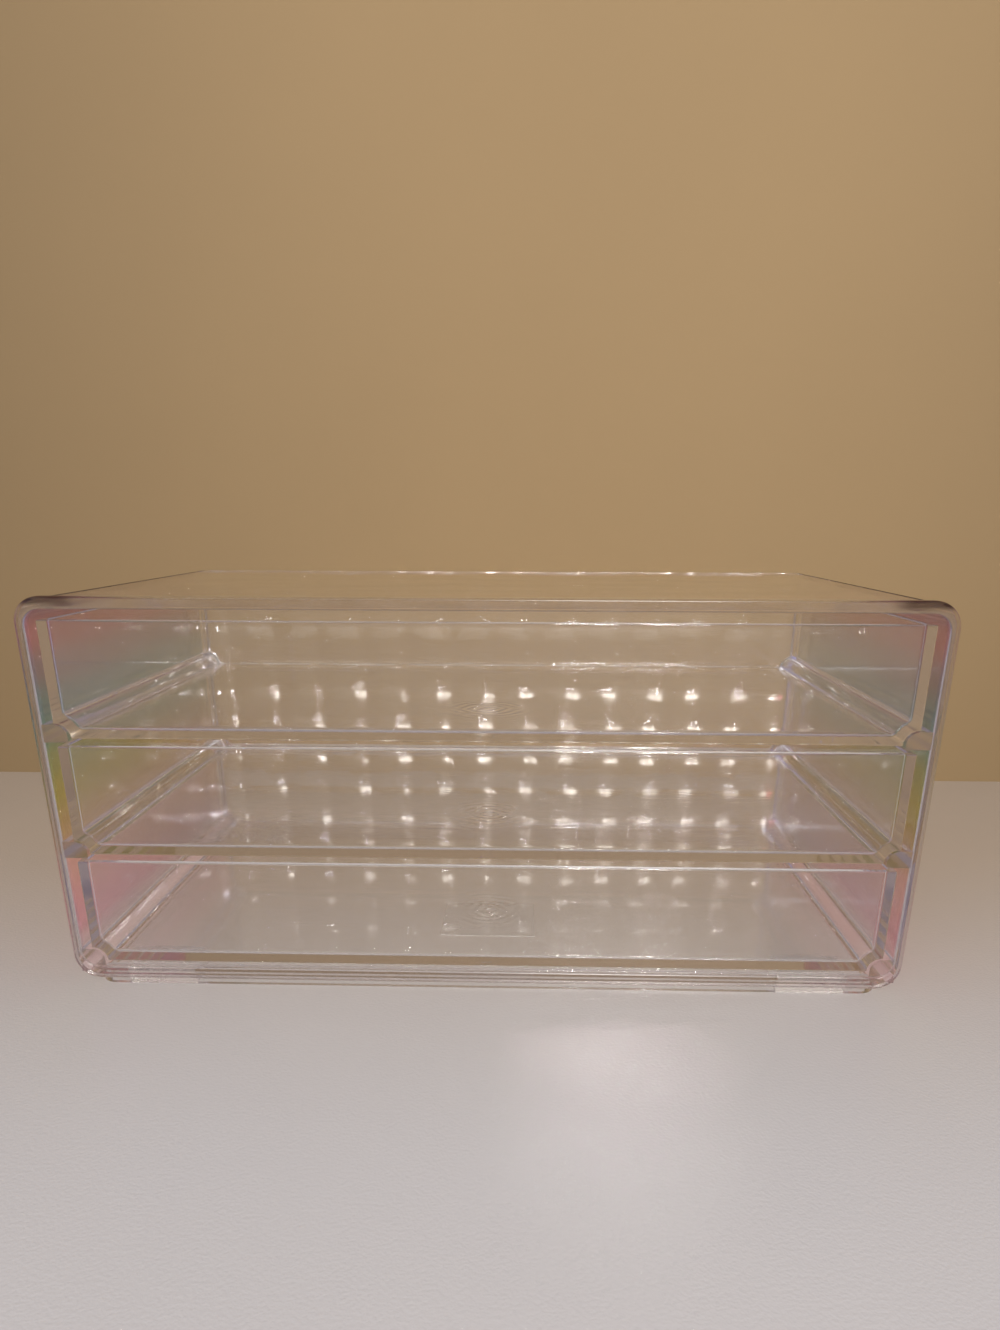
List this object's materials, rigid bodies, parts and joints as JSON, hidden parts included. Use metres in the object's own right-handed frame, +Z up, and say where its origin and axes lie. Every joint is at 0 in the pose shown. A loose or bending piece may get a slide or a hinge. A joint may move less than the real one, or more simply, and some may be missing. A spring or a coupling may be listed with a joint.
{
  "type": "drawer organizer",
  "caption": "Low clear plastic cabinet with full-width drawers that slide out of its open front on side rails.",
  "frame": {"origin": "middle of the footprint, at the table", "axes": "+Z up, +X to the right seen from the front, the drawers open towards -Y"},
  "size_m": [0.3, 0.166, 0.14],
  "materials": {
    "clear_iridescent_casing": "polished clear, side walls with an iridescent sheen",
    "clear_drawer": "polished clear",
    "clear_foot": "soft clear"
  },
  "bodies": {
    "cabinet": {"casing": "clear_iridescent_casing", "foot_front_left": "clear_foot", "foot_front_right": "clear_foot", "foot_rear_left": "clear_foot", "foot_rear_right": "clear_foot"},
    "bottom_drawer": {"drawer_bottom": "clear_drawer"},
    "middle_drawer": {"drawer_middle": "clear_drawer"},
    "top_drawer": {"drawer_top": "clear_drawer"}
  },
  "joints": [
    {"name": "bottom_drawer_slide", "type": "slide", "parent": "cabinet", "child": "bottom_drawer", "axis": [0, -1, 0], "range_m": [0, 0.12]},
    {"name": "middle_drawer_slide", "type": "slide", "parent": "cabinet", "child": "middle_drawer", "axis": [0, -1, 0], "range_m": [0, 0.12]},
    {"name": "top_drawer_slide", "type": "slide", "parent": "cabinet", "child": "top_drawer", "axis": [0, -1, 0], "range_m": [0, 0.12]}
  ]
}
